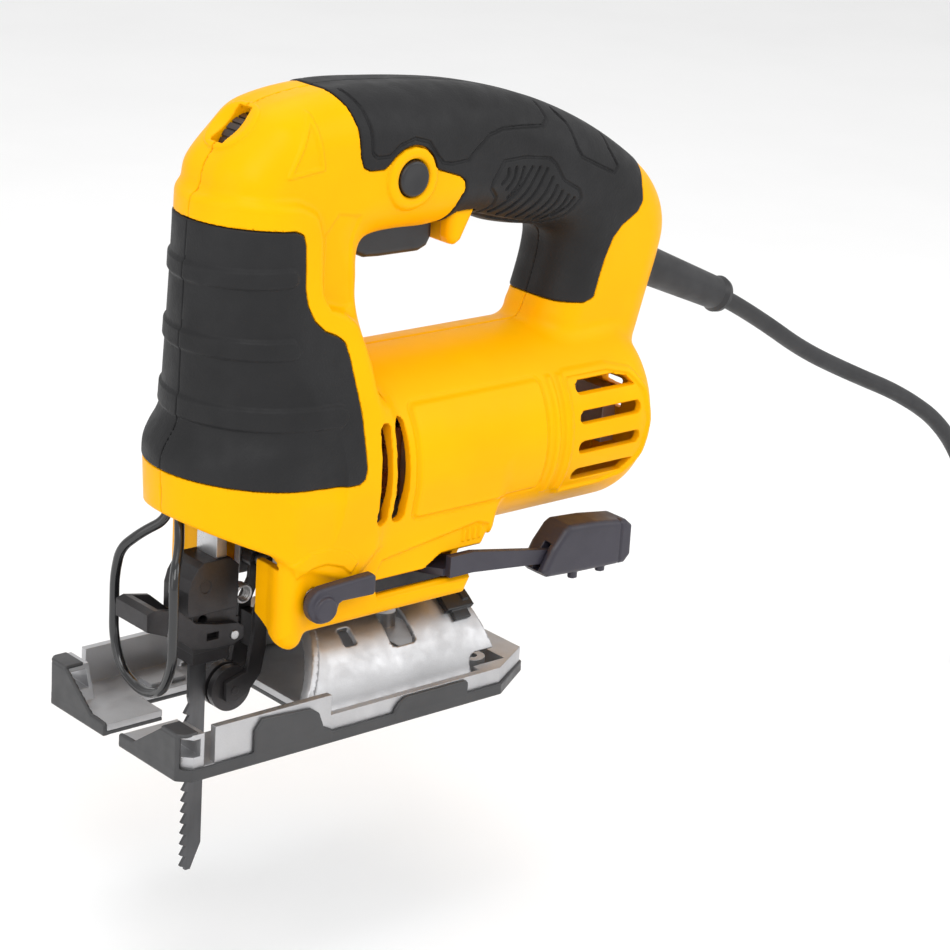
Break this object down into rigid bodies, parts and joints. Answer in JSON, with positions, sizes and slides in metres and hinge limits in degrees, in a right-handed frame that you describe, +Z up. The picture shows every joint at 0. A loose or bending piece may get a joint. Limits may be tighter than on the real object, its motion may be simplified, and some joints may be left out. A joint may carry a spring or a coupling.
{
  "type": "jigsaw power tool",
  "caption": "Corded top-handle jigsaw with a bevelling shoe, orbit selector, tool-free blade clamp, speed dial, trigger and lock button, with its mains cord and plug.",
  "frame": {"origin": "on the sole of the shoe, at the middle of its front edge", "axes": "+X to the tool's rear, -Y its left side, +Z up"},
  "size_m": [0.558, 0.121, 0.2882],
  "materials": {
    "housing_shell": "fine satin moulded texture",
    "soft_grip": "fine pebble texture",
    "black_plastic": "satin",
    "grey_plastic": "satin",
    "dial_plastic": "satin with a marked rim",
    "die_cast": "cast satin",
    "zinc_steel": "satin",
    "dark_steel": "blackened",
    "blade_steel": "ground",
    "guard_wire": "gloss black",
    "motor_iron": "laminated",
    "copper": "varnished wire",
    "brass_fittings": "satin",
    "carbon": "matte",
    "white_plastic": "satin",
    "cord_rubber": "satin"
  },
  "bodies": {
    "body": {"housing_left": "housing_shell", "housing_right": "housing_shell", "nose_grip_left": "soft_grip", "nose_grip_right": "soft_grip", "handle_grip_left": "soft_grip", "handle_grip_right": "soft_grip", "gearbox_case": "die_cast", "shaft_bearings": "zinc_steel", "bearing_bridge": "die_cast", "frame_pins": "zinc_steel", "stator_core": "motor_iron", "field_coils": "copper", "brush_holders": "brass_fittings", "carbon_brushes": "carbon", "switch_body": "grey_plastic", "speed_module": "grey_plastic", "capacitor": "white_plastic", "cord_clamp": "black_plastic", "housing_screws": "dark_steel", "wire_guard": "guard_wire", "guard_socket": "black_plastic", "strain_relief": "cord_rubber", "power_cord": "cord_rubber", "cord_coil": "cord_rubber", "plug_body": "black_plastic", "plug_pins": "zinc_steel", "bevel_seat": "die_cast", "bevel_nut": "zinc_steel", "guide_pins": "zinc_steel"},
    "shoe": {"shoe_plate": "die_cast", "shoe_saddle": "zinc_steel", "shoe_cover": "grey_plastic", "shoe_screws": "dark_steel", "bevel_clip": "black_plastic"},
    "bevel_lever_arm": {"bevel_screw": "zinc_steel", "bevel_lever": "dark_steel", "bevel_lever_grip": "grey_plastic"},
    "crank": {"crank_gear": "zinc_steel", "crank_pin": "zinc_steel"},
    "armature": {"armature_shaft": "zinc_steel", "cooling_fan": "black_plastic", "armature_core": "motor_iron", "armature_windings": "copper", "commutator": "copper"},
    "blade_guide": {"guide_carrier": "die_cast"},
    "plunger": {"plunger_bar": "zinc_steel", "plunger_yoke": "zinc_steel", "clamp_body": "dark_steel", "clamp_pin": "zinc_steel", "clamp_spring": "zinc_steel", "saw_blade": "blade_steel"},
    "clamp_release": {"clamp_lever": "dark_steel"},
    "roller_arm": {"roller_yoke": "zinc_steel", "roller_axle": "zinc_steel"},
    "roller": {"guide_roller": "zinc_steel"},
    "switch_trigger": {"trigger": "black_plastic"},
    "lock_on": {"lock_button": "black_plastic"},
    "dial": {"speed_dial": "dial_plastic"},
    "selector": {"selector_knob": "grey_plastic", "selector_cam": "zinc_steel"}
  },
  "joints": [
    {"name": "shoe_bevel", "type": "hinge", "parent": "body", "child": "shoe", "pos_m": [0, 0, 0], "axis": [1, 0, 0], "range_deg": [-45, 45]},
    {"name": "bevel_lever_swing", "type": "hinge", "parent": "body", "child": "bevel_lever_arm", "pos_m": [0.101, 0, 0.045], "axis": [0, 0, -1], "range_deg": [0, 42]},
    {"name": "crank_turn", "type": "hinge", "parent": "body", "child": "crank", "pos_m": [0.055, 0, 0.1137], "axis": [1, 0, 0], "range_deg": [0, 180]},
    {"name": "armature_turn", "type": "hinge", "parent": "body", "child": "armature", "pos_m": [0.06, 0, 0.0857], "axis": [1, 0, 0], "range_deg": [-1080, 0]},
    {"name": "roller_arm_swing", "type": "hinge", "parent": "body", "child": "roller_arm", "pos_m": [0.06, 0, 0.05], "axis": [0, 1, 0], "range_deg": [0, 2.2]},
    {"name": "guide_swing", "type": "hinge", "parent": "body", "child": "blade_guide", "pos_m": [0.0379, 0, 0.146], "axis": [0, 1, 0], "range_deg": [0, 0.7]},
    {"name": "plunger_stroke", "type": "slide", "parent": "blade_guide", "child": "plunger", "axis": [0, 0, 1], "range_m": [0, 0.018]},
    {"name": "blade_release", "type": "hinge", "parent": "plunger", "child": "clamp_release", "pos_m": [0.0416, 0, 0.0314], "axis": [0, -1, 0], "range_deg": [0, 30], "stiffness_Nm_per_rad": 0.05, "springref_deg": -20.05},
    {"name": "roller_spin", "type": "hinge", "parent": "roller_arm", "child": "roller", "pos_m": [0.0454, 0, 0.0092], "axis": [0, 1, 0], "continuous": true},
    {"name": "trigger_pull", "type": "hinge", "parent": "body", "child": "switch_trigger", "pos_m": [0.08, 0, 0.1665], "axis": [0, -1, 0], "range_deg": [0, 8], "stiffness_Nm_per_rad": 0.6, "springref_deg": -11.46},
    {"name": "lock_button_press", "type": "slide", "parent": "body", "child": "lock_on", "axis": [0, 1, 0], "range_m": [0, 0.003], "stiffness_N_per_m": 300, "springref_m": -0.001},
    {"name": "speed_dial_turn", "type": "hinge", "parent": "body", "child": "dial", "pos_m": [0.05, 0, 0.189], "axis": [0, 1, 0], "range_deg": [-150, 150]},
    {"name": "selector_turn", "type": "hinge", "parent": "body", "child": "selector", "pos_m": [0.0555, -0.03, 0.0485], "axis": [0, 1, 0], "range_deg": [-60, 30]}
  ],
  "couplings": [
    {"joint": "armature_turn", "follows": "crank_turn", "ratio": -6},
    {"joint": "plunger_stroke", "follows": "crank_turn", "m_per_rad": 0.005729},
    {"joint": "guide_swing", "follows": "roller_arm_swing", "ratio": 0.3}
  ]
}
